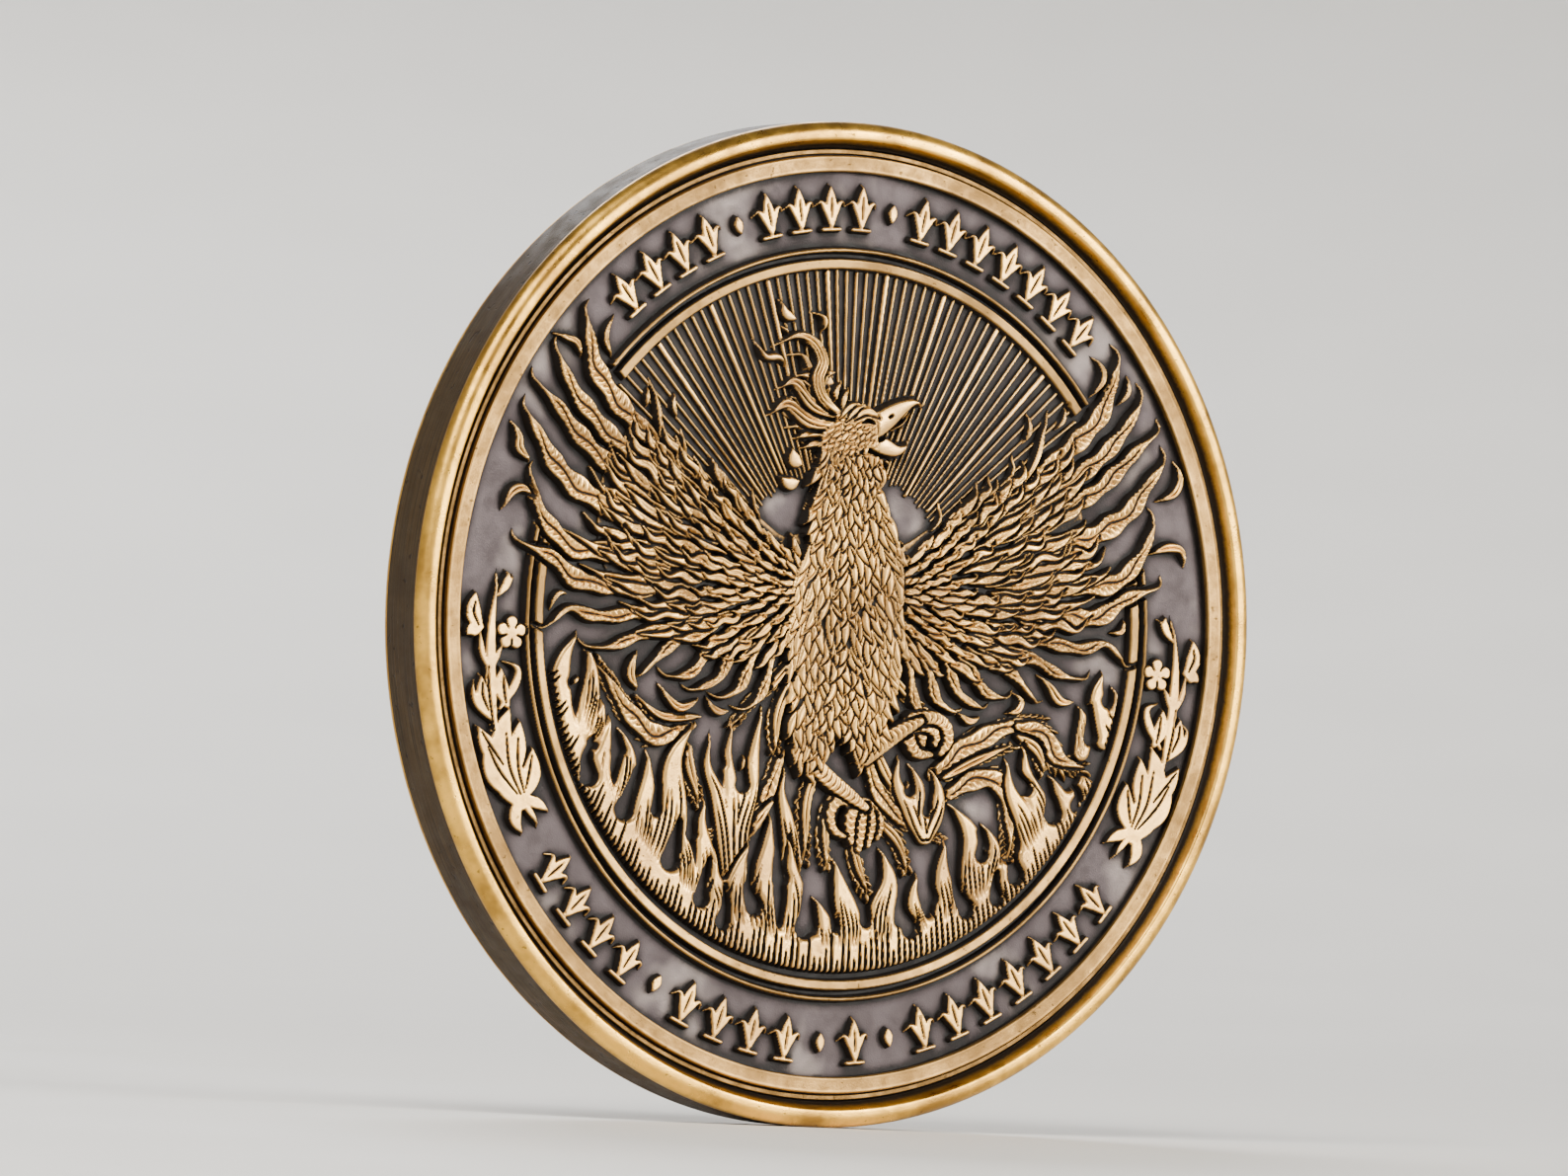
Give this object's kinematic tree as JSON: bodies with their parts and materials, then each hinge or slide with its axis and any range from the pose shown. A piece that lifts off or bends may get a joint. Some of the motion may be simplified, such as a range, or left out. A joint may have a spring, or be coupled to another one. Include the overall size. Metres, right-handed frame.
{
  "type": "challenge coin",
  "caption": "Round struck brass coin on its edge: raised rim, inner rings, phoenix over flames before a sunburst, palmette bands and flower sprigs, dark antique recesses.",
  "frame": {"origin": "centre of the coin, on its axis and midway between its two faces", "axes": "-Y out of the obverse, +Y out of the reverse, along the coin's axis; +Z towards the top of the design; +X to the right when the obverse is looked at; the coin stands on its edge, with its lowest point 25 mm below the origin"},
  "size_m": [0.05, 0.0038, 0.05],
  "materials": {
    "antique_field": "dark antique wash, satin",
    "rim_brass": "satin polish",
    "ring_brass": "satin polish",
    "relief_brass": "satin, dark in the recesses"
  },
  "bodies": {
    "root": {"back_flames": "relief_brass", "coin_blank": "antique_field", "crest_sparks": "relief_brass", "fine_rays": "relief_brass", "front_flames": "relief_brass", "left_loose_flames": "relief_brass", "left_sprig": "relief_brass", "left_tail_plumes": "relief_brass", "left_wing_coverts": "relief_brass", "left_wing_feathers": "relief_brass", "lower_band_ornament": "relief_brass", "lower_thin_ring": "ring_brass", "lower_wide_ring": "ring_brass", "obverse_outer_ring": "ring_brass", "obverse_rim": "rim_brass", "obverse_step_ring": "ring_brass", "phoenix_beak": "relief_brass", "phoenix_body": "relief_brass", "phoenix_crest": "relief_brass", "phoenix_head": "relief_brass", "raised_leg": "relief_brass", "reverse_beads": "relief_brass", "reverse_flames": "relief_brass", "reverse_inner_ring": "ring_brass", "reverse_medallion_ring": "ring_brass", "reverse_outer_ring": "ring_brass", "reverse_rays": "relief_brass", "reverse_rim": "rim_brass", "reverse_step_ring": "ring_brass", "reverse_thin_ring": "ring_brass", "right_loose_flames": "relief_brass", "right_sprig": "relief_brass", "right_tail_plumes": "relief_brass", "right_wing_coverts": "relief_brass", "right_wing_feathers": "relief_brass", "standing_leg": "relief_brass", "upper_band_ornament": "relief_brass", "upper_thin_ring": "ring_brass", "upper_wide_ring": "ring_brass", "wide_rays": "relief_brass"}
  },
  "joints": []
}
